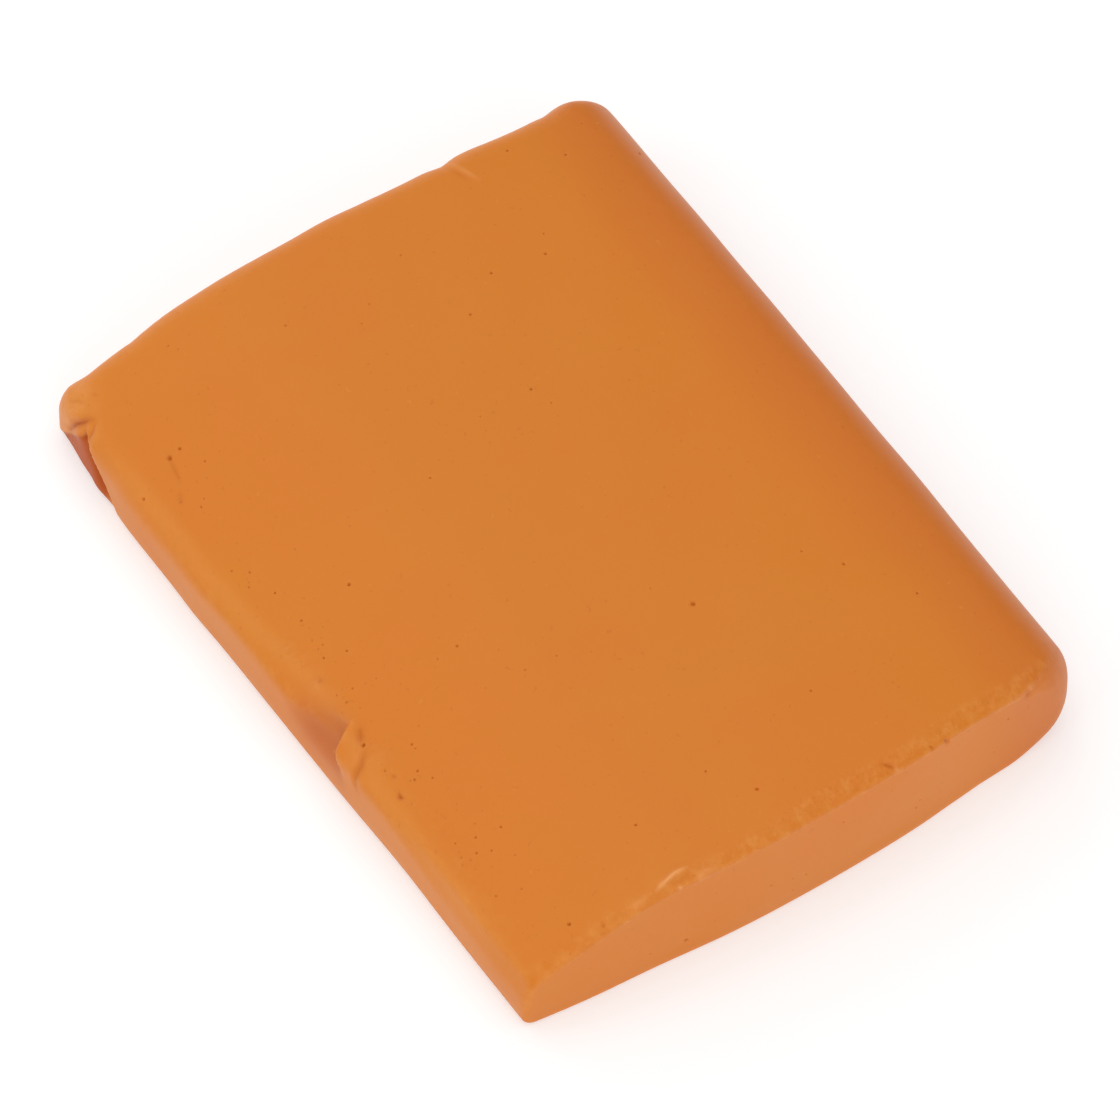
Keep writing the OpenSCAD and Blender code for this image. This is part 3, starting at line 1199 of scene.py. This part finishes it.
# --------------------------------------------------------------------------- shader helpers
class Nodes:
    """Adds and joins shader nodes in one node tree."""

    def __init__(self, tree: bpy.types.NodeTree) -> None:
        """Keeps the tree that nodes are added to."""
        self.tree = tree

    def add(self, kind: str, label: str = "", **settings: object) -> bpy.types.Node:
        """Adds a node.

        Args:
            kind: the node's type name.
            label: the label to show on it.
            **settings: values for its properties.

        Returns:
            The new node.
        """
        node = self.tree.nodes.new(kind)
        node.label = label
        for name, value in settings.items():
            setattr(node, name, value)
        return node

    def join(self, source: bpy.types.NodeSocket, target: bpy.types.NodeSocket) -> None:
        """Joins an output to an input."""
        self.tree.links.new(source, target)

    def put(self, value: object, socket: bpy.types.NodeSocket) -> None:
        """Sets an input to a value, or joins it when the value is another node's output."""
        if isinstance(value, bpy.types.NodeSocket):
            self.join(value, socket)
        else:
            socket.default_value = value

    def feed(self, node: bpy.types.Node, **inputs: object) -> bpy.types.Node:
        """Sets or joins a node's inputs by name.

        Args:
            node: the node to feed.
            **inputs: a value or an output socket for each input, with _ for each space.

        Returns:
            The same node.
        """
        for name, value in inputs.items():
            self.put(value, node.inputs[name.replace("_", " ")])
        return node

    def math(self, operation: str, a: object, b: object = 0.0, clamp: bool = False) -> bpy.types.NodeSocket:
        """Adds a math node.

        Args:
            operation: the node's operation.
            a: the first value or socket.
            b: the second value or socket.
            clamp: whether to keep the result from 0 to 1.

        Returns:
            The result socket.
        """
        node = self.add("ShaderNodeMath", operation=operation, use_clamp=clamp)
        for socket, value in zip(node.inputs, (a, b)):
            self.put(value, socket)
        return node.outputs[0]

    def blend(self, share: object, a: object, b: object) -> bpy.types.NodeSocket:
        """Blends two colours.

        Args:
            share: how much of the second colour, as a value or a socket.
            a: the first colour or socket.
            b: the second colour or socket.

        Returns:
            The blended colour's socket.
        """
        node = self.add("ShaderNodeMix", data_type="RGBA", clamp_factor=True)
        sockets = (node.inputs[0], node.inputs[6], node.inputs[7])
        for socket, value in zip(sockets, (share, a, b)):
            self.put(value, socket)
        return node.outputs[2]

    def noise(
        self, label: str, scale: float, detail: float, roughness: float = 0.5
    ) -> bpy.types.NodeSocket:
        """Adds a noise that stays with the object.

        Args:
            label: what the noise makes.
            scale: how many grains there are in a metre.
            detail: how many finer layers it has.
            roughness: how strong the finer layers are.

        Returns:
            The noise's value socket.
        """
        where = self.add("ShaderNodeTexCoord")
        node = self.add("ShaderNodeTexNoise", label)
        self.feed(node, Vector=where.outputs["Object"], Scale=scale, Detail=detail, Roughness=roughness)
        return node.outputs[0]

    def part(self, value: object, share: float) -> bpy.types.NodeSocket:
        """A share of a value."""
        return self.math("MULTIPLY", value, share)

    def spread(
        self, value: object, low: float, high: float, to_low: float, to_high: float
    ) -> bpy.types.NodeSocket:
        """Maps a range of values onto another, held at its ends.

        Args:
            value: the value or socket to map.
            low: start of the first range.
            high: end of the first range.
            to_low: start of the second range.
            to_high: end of the second range.

        Returns:
            The mapped value's socket.
        """
        node = self.add("ShaderNodeMapRange", clamp=True)
        self.feed(node, Value=value, From_Min=low, From_Max=high, To_Min=to_low, To_Max=to_high)
        return node.outputs[0]


def blank_material(name: str) -> tuple[bpy.types.Material, Nodes]:
    """Makes a material with no nodes in it.

    Args:
        name: the material's name.

    Returns:
        The material, and the helper that fills its node tree.
    """
    material = bpy.data.materials.new(name)
    material.use_nodes = True
    material.node_tree.nodes.clear()
    return material, Nodes(material.node_tree)


class FineGrain:
    """The grain that the clay and the table share: a fine height and a slow mottle."""

    NAME = "fine_grain"

    @classmethod
    def group(cls) -> bpy.types.NodeTree:
        """Builds the group once and hands back the same one after that.

        Returns:
            The node group.
        """
        if cls.NAME in bpy.data.node_groups:
            return bpy.data.node_groups[cls.NAME]
        tree = bpy.data.node_groups.new(cls.NAME, "ShaderNodeTree")
        tree.interface.new_socket("Vector", in_out="INPUT", socket_type="NodeSocketVector")
        for name in ("Grain Scale", "Mottle Scale"):
            tree.interface.new_socket(name, in_out="INPUT", socket_type="NodeSocketFloat")
        for name in ("Height", "Mottle"):
            tree.interface.new_socket(name, in_out="OUTPUT", socket_type="NodeSocketFloat")
        nodes = Nodes(tree)
        start = nodes.add("NodeGroupInput")
        end = nodes.add("NodeGroupOutput")
        grain = nodes.add("ShaderNodeTexNoise", "grain")
        nodes.feed(grain, Vector=start.outputs["Vector"], Scale=start.outputs["Grain Scale"], Detail=3.0)
        mottle = nodes.add("ShaderNodeTexNoise", "mottle")
        nodes.feed(mottle, Vector=start.outputs["Vector"], Scale=start.outputs["Mottle Scale"], Detail=4.0)
        nodes.join(grain.outputs[0], end.inputs["Height"])
        nodes.join(mottle.outputs[0], end.inputs["Mottle"])
        return tree

    @classmethod
    def place(cls, nodes: Nodes, grain: float, mottle: float) -> bpy.types.Node:
        """Puts the group in a material.

        Args:
            nodes: the material's nodes.
            grain: grains per metre.
            mottle: mottled patches per metre.

        Returns:
            The group node.
        """
        where = nodes.add("ShaderNodeTexCoord")
        node = nodes.add("ShaderNodeGroup", node_tree=cls.group())
        return nodes.feed(node, Vector=where.outputs["Object"], Grain_Scale=grain, Mottle_Scale=mottle)


@dataclass(frozen=True)
class ClayFinish:
    """Kneaded orange polymer clay: satin, a little waxy, with pinholes, paler edges painted as a highlight,
    and painted shade in its hollows.
    """

    name: str = "orange_clay"
    body: Colour = (0.662, 0.192, 0.002, 1.0)
    warm: Colour = (0.672, 0.182, 0.003, 1.0)
    nose_shade_colour: Colour = (0.600, 0.143, 0.004, 1.0)
    pale: Colour = (0.760, 0.285, 0.044, 1.0)
    glint: Colour = (0.920, 0.440, 0.150, 1.0)
    deep: Colour = (0.370, 0.034, 0.004, 1.0)
    shaded: Colour = (0.535, 0.136, 0.034, 1.0)
    roughness: float = 0.44
    specular: float = 0.42
    specular_inside: float = 0.06
    glow_share: float = 0.10
    glow_reach: float = 0.0012
    grain_scale: float = 2600.0
    grain_depth: float = 0.00002
    mottle_scale: float = 55.0
    ripple_scale: float = 420.0
    ripple_depth: float = 0.00008
    scrape_scale: float = 1700.0
    scrape_depth: float = 0.00016
    crumb_scale: float = 900.0
    pale_speck_scale: float = 1500.0
    dark_speck_scale: float = 2200.0

    def make(self) -> bpy.types.Material:
        """Builds the material.

        Returns:
            The clay's material.
        """
        material, nodes = blank_material(self.name)
        shared = FineGrain.place(nodes, self.grain_scale, self.mottle_scale)
        masks = {}
        for mask in ("pit", "crease", "edge", "lip", "worn", "hollow", "nose", "crest"):
            masks[mask] = nodes.add("ShaderNodeAttribute", mask, attribute_name=mask).outputs["Fac"]
        colour = self.colour(nodes, shared, masks)
        skin = nodes.add("ShaderNodeBsdfPrincipled", "clay")
        # the socket's own value holds wherever the mask that is joined to it can't be kept
        nodes.feed(skin, Specular_IOR_Level=self.specular)
        nodes.feed(
            skin,
            Base_Color=colour,
            Roughness=self.sheen(nodes, shared, masks),
            Specular_IOR_Level=self.gloss(nodes, masks),
            Subsurface_Weight=self.glow_share,
            Subsurface_Radius=(1.0, 0.35, 0.12),
            Subsurface_Scale=self.glow_reach,
            Normal=self.bumps(nodes, shared, masks),
        )
        end = nodes.add("ShaderNodeOutputMaterial")
        nodes.join(skin.outputs[0], end.inputs["Surface"])
        return material

    def colour(self, nodes: Nodes, shared: bpy.types.Node, masks: Masks) -> bpy.types.NodeSocket:
        """The clay's colour: a slow drift of warmth, specks, a paler worn strip, painted highlights on
        edges, the crest and fine lips, and painted shade on the nose side, in the dent, the creases and the
        pits.

        Args:
            nodes: the material's nodes.
            shared: the shared grain.
            masks: the masks stored on the mesh.

        Returns:
            The colour's socket.
        """
        drift = nodes.spread(shared.outputs["Mottle"], 0.35, 0.65, 0.0, 1.0)
        colour = nodes.blend(drift, self.body, self.warm)
        # painted shade: the side by the nose, which faces away from the lights, is painted darker and
        # redder
        colour = nodes.blend(nodes.part(masks["nose"], 0.85), colour, self.nose_shade_colour)
        # painted highlight on tight edges (edge mask), mixed with the paler crumbled clay of the dragged
        # strip (real wear)
        rubbed_and_highlit = nodes.math("ADD", nodes.part(masks["edge"], 0.9), masks["worn"], clamp=True)
        colour = nodes.blend(nodes.math("MULTIPLY", rubbed_and_highlit, self.crumbs(nodes)), colour, self.pale)
        # painted highlight along the wall's crest and on the corner's lobe
        colour = nodes.blend(nodes.part(masks["crest"], 0.25), colour, self.pale)
        # painted highlight on the fine lips
        colour = nodes.blend(nodes.part(masks["lip"], 0.7), colour, self.glint)
        # painted shade in the dent of the wall
        colour = nodes.blend(nodes.part(masks["hollow"], 0.8), colour, self.shaded)
        light = nodes.noise("pale specks", self.pale_speck_scale, 1.0)
        colour = nodes.blend(nodes.spread(light, 0.74, 0.82, 0.0, 0.25), colour, self.pale)
        dark = nodes.noise("dark specks", self.dark_speck_scale, 0.0)
        colour = nodes.blend(nodes.spread(dark, 0.78, 0.84, 0.0, 0.15), colour, self.deep)
        # painted shade in the creases and in the fold under the corner
        colour = nodes.blend(nodes.part(masks["crease"], 0.95), colour, self.deep)
        # painted shade in the pinholes
        return nodes.blend(nodes.part(masks["pit"], 0.35), colour, self.deep)

    def crumbs(self, nodes: Nodes) -> bpy.types.NodeSocket:
        """The broken-up share of paleness in the dragged strip."""
        return nodes.spread(nodes.noise("crumbs", self.crumb_scale, 3.0, 0.6), 0.42, 0.68, 0.0, 0.42)

    def gloss(self, nodes: Nodes, masks: Masks) -> bpy.types.NodeSocket:
        """How strongly the clay reflects: less inside the fold and the dent."""
        inside = nodes.math("MAXIMUM", masks["crease"], nodes.part(masks["hollow"], 0.1))
        return nodes.spread(inside, 0.0, 1.0, self.specular, self.specular_inside)

    def sheen(self, nodes: Nodes, shared: bpy.types.Node, masks: Masks) -> bpy.types.NodeSocket:
        """The clay's roughness, duller in pits and a little uneven elsewhere.

        Args:
            nodes: the material's nodes.
            shared: the shared grain.
            masks: the masks stored on the mesh.

        Returns:
            The roughness socket.
        """
        low, high = self.roughness - 0.04, self.roughness + 0.05
        uneven = nodes.spread(shared.outputs["Mottle"], 0.3, 0.7, low, high)
        return nodes.math("ADD", uneven, nodes.part(masks["pit"], 0.3), clamp=True)

    def scraped(self, nodes: Nodes, masks: Masks) -> bpy.types.NodeSocket:
        """Where the skin is scraped: the dragged strip, and half as much the crest."""
        return nodes.math("ADD", masks["worn"], nodes.part(masks["crest"], 0.5), clamp=True)

    def bumps(self, nodes: Nodes, shared: bpy.types.Node, masks: Masks) -> bpy.types.NodeSocket:
        """The grain that is too fine for the mesh: slow ripples, fine grain and scrapes.

        Args:
            nodes: the material's nodes.
            shared: the shared grain.
            masks: the masks stored on the mesh.

        Returns:
            The normal's socket.
        """
        ripples = nodes.noise("ripples", self.ripple_scale, 3.0, 0.55)
        slow = nodes.add("ShaderNodeBump", "ripples")
        nodes.feed(slow, Height=ripples, Strength=0.30, Distance=self.ripple_depth)
        fine = nodes.add("ShaderNodeBump", "grain")
        nodes.feed(fine, Height=shared.outputs["Height"], Strength=0.20, Distance=self.grain_depth)
        nodes.join(slow.outputs[0], fine.inputs["Normal"])
        scrapes = nodes.noise("scrapes", self.scrape_scale, 3.0, 0.7)
        height = nodes.math("MULTIPLY", scrapes, self.scraped(nodes, masks))
        dragged = nodes.add("ShaderNodeBump", "scrapes")
        nodes.feed(dragged, Height=height, Strength=0.8, Distance=self.scrape_depth)
        nodes.join(fine.outputs[0], dragged.inputs["Normal"])
        return dragged.outputs[0]


@dataclass(frozen=True)
class TableFinish:
    """A plain pale table with the faintest grain."""

    name: str = "pale_table"
    light: Colour = (0.66, 0.66, 0.66, 1.0)
    shade: Colour = (0.64, 0.64, 0.64, 1.0)
    lit: Colour = (1.0, 1.0, 1.0, 1.0)
    roughness: float = 0.8
    glow: float = 0.42

    def make(self) -> bpy.types.Material:
        """Builds the material.

        Returns:
            The table's material.
        """
        material, nodes = blank_material(self.name)
        shared = FineGrain.place(nodes, 900.0, 6.0)
        colour = nodes.blend(shared.outputs["Mottle"], self.light, self.shade)
        top = nodes.add("ShaderNodeBsdfPrincipled", "table")
        nodes.feed(top, Base_Color=colour, Roughness=self.roughness, Specular_IOR_Level=0.1)
        nodes.feed(top, Emission_Color=self.lit, Emission_Strength=self.glow)
        end = nodes.add("ShaderNodeOutputMaterial")
        nodes.join(top.outputs[0], end.inputs["Surface"])
        return material


# --------------------------------------------------------------------------- the pieces
def new_mesh(name: str, points: Points, faces: np.ndarray) -> bpy.types.Object:
    """Makes a mesh object with smooth shading, in metres.

    Args:
        name: the object's name.
        points: places in metres.
        faces: rows of indices, all of one length.

    Returns:
        The new object, in the scene.
    """
    mesh = bpy.data.meshes.new(name)
    sides = faces.shape[1]
    mesh.vertices.add(len(points))
    mesh.vertices.foreach_set("co", points.astype(np.float32).ravel())
    mesh.loops.add(faces.size)
    mesh.loops.foreach_set("vertex_index", faces.astype(np.int32).ravel())
    mesh.polygons.add(len(faces))
    mesh.polygons.foreach_set("loop_start", np.arange(0, faces.size, sides, dtype=np.int32))
    mesh.update(calc_edges=True)
    mesh.validate()
    mesh.shade_smooth()
    piece = bpy.data.objects.new(name, mesh)
    bpy.context.scene.collection.objects.link(piece)
    return piece


@dataclass
class ClayBar:
    """The bar itself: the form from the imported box, its skin and its finish."""

    low: Vector
    high: Vector
    finish: ClayFinish = ClayFinish()

    def build(self) -> bpy.types.Object:
        """Builds and dresses the bar.

        Returns:
            The finished piece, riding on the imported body.
        """
        size = (self.high - self.low) / MM
        form = BarForm(length=size.x, width=size.y, height=size.z)
        marks = Marks(form)
        marks.lay_out()
        points, faces, masks = Skin(form, marks).build()
        middle = (self.low + self.high) / 2.0
        foot = np.array([middle.x, middle.y, self.low.z])
        piece = new_mesh("clay_bar_skin", points * MM + foot, faces)
        for name, values in masks.items():
            layer = piece.data.attributes.new(name, "FLOAT", "POINT")
            layer.data.foreach_set("value", values.astype(np.float32))
        piece.data.materials.append(self.finish.make())
        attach(piece, "root")
        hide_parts(NODE)
        LOG.info("clay_bar_skin: %d points, %d triangles", len(points), len(faces))
        return piece


class LightSide(Enum):
    """Where each soft light stands, as its direction from the bar."""

    ABOVE = (0.0, 0.1, 1.0)
    WALL = (-0.25, -1.0, 0.75)
    CUT_END = (1.0, -0.25, 0.55)
    FOLDED_END = (-1.0, 0.0, 0.45)
    NOSE = (0.1, 1.0, 0.50)


@dataclass
class Studio:
    """The pale table, the soft lights and the camera."""

    low: Vector
    high: Vector
    finish: TableFinish = TableFinish()
    table_size: float = 6.0
    table_rows: int = 12
    table_rise: float = 0.02
    table_gap: float = 0.00004
    light_distance: float = 0.9
    light_size: float = 0.9
    ambient: float = 0.47
    powers: tuple[tuple[LightSide, float], ...] = (
        (LightSide.ABOVE, 2.4),
        (LightSide.WALL, 1.7),
        (LightSide.CUT_END, 2.4),
        (LightSide.FOLDED_END, 2.4),
        (LightSide.NOSE, 0.05),
    )
    view_azimuth: float = 56.15
    view_elevation: float = 55.32
    view_distance: float = 1.0
    lens: float = 333.9
    sensor: float = 36.0
    aim: Place = (1.26, -1.31, 6.0)

    def table(self) -> bpy.types.Object:
        """Lays the table under the bar.

        Returns:
            The table.
        """
        half = self.table_size / 2.0
        rows = self.table_rows
        line = np.linspace(-half, half, rows + 1)
        x, y = np.meshgrid(line, line, indexing="ij")
        far = np.sqrt(x * x + y * y)
        beyond = np.maximum(far - 0.5 * half, 0.0)
        z = self.table_rise * beyond**2 + self.low.z - self.table_gap
        points = np.stack([x, y, z], -1).reshape(-1, 3)
        i, j = np.meshgrid(np.arange(rows), np.arange(rows), indexing="ij")
        a = (i * (rows + 1) + j).ravel()
        faces = np.stack([a, a + rows + 1, a + rows + 2, a + 1], 1)
        piece = new_mesh("table", points, faces)
        piece.data.materials.append(self.finish.make())
        return piece

    def lights(self) -> None:
        """Hangs the soft lights and sets the even light of the room."""
        world = bpy.data.worlds.new("soft_room")
        world.use_nodes = True
        background = world.node_tree.nodes["Background"]
        background.inputs["Color"].default_value = (1.0, 1.0, 1.0, 1.0)
        background.inputs["Strength"].default_value = self.ambient
        bpy.context.scene.world = world
        for side, power in self.powers:
            lamp = bpy.data.lights.new(f"light_{side.name.lower()}", "AREA")
            lamp.shape = "SQUARE"
            lamp.size = self.light_size
            lamp.energy = power
            stand = bpy.data.objects.new(lamp.name, lamp)
            direction = Vector(side.value).normalized()
            stand.location = self.centre() + direction * self.light_distance
            stand.rotation_euler = direction.to_track_quat("Z", "Y").to_euler()
            bpy.context.scene.collection.objects.link(stand)

    def centre(self) -> Vector:
        """The middle of the bar."""
        return (self.low + self.high) / 2.0

    def camera(self) -> bpy.types.Object:
        """Sets the camera above the cut end, looking down across the bar.

        Returns:
            The camera.
        """
        data = bpy.data.cameras.new("camera")
        data.lens = self.lens
        data.sensor_width = self.sensor
        data.clip_start = 0.05
        camera = bpy.data.objects.new("camera", data)
        azimuth = math.radians(self.view_azimuth)
        elevation = math.radians(self.view_elevation)
        level = math.cos(elevation)
        back = Vector((math.sin(azimuth) * level, -math.cos(azimuth) * level, math.sin(elevation)))
        middle = self.centre()
        target = Vector((middle.x, middle.y, self.low.z)) + Vector(self.aim) * MM
        camera.location = target + back * self.view_distance
        camera.rotation_euler = back.to_track_quat("Z", "Y").to_euler()
        bpy.context.scene.collection.objects.link(camera)
        bpy.context.scene.camera = camera
        return camera

    def build(self) -> None:
        """Builds the whole studio."""
        self.table()
        self.lights()
        self.camera()
        settings = bpy.context.scene.view_settings
        settings.view_transform = "Standard"
        settings.look = "None"


def main() -> None:
    """Builds the bar and the studio around it."""
    logging.basicConfig(level=logging.INFO, format="%(message)s")
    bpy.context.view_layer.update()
    low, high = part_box(NODE)
    bar = ClayBar(low, high).build()
    LOG.info("built %s", bar.name)
    Studio(low, high).build()
    LOG.info("built the table, the lights and the camera")


if __name__ == "__main__":
    main()
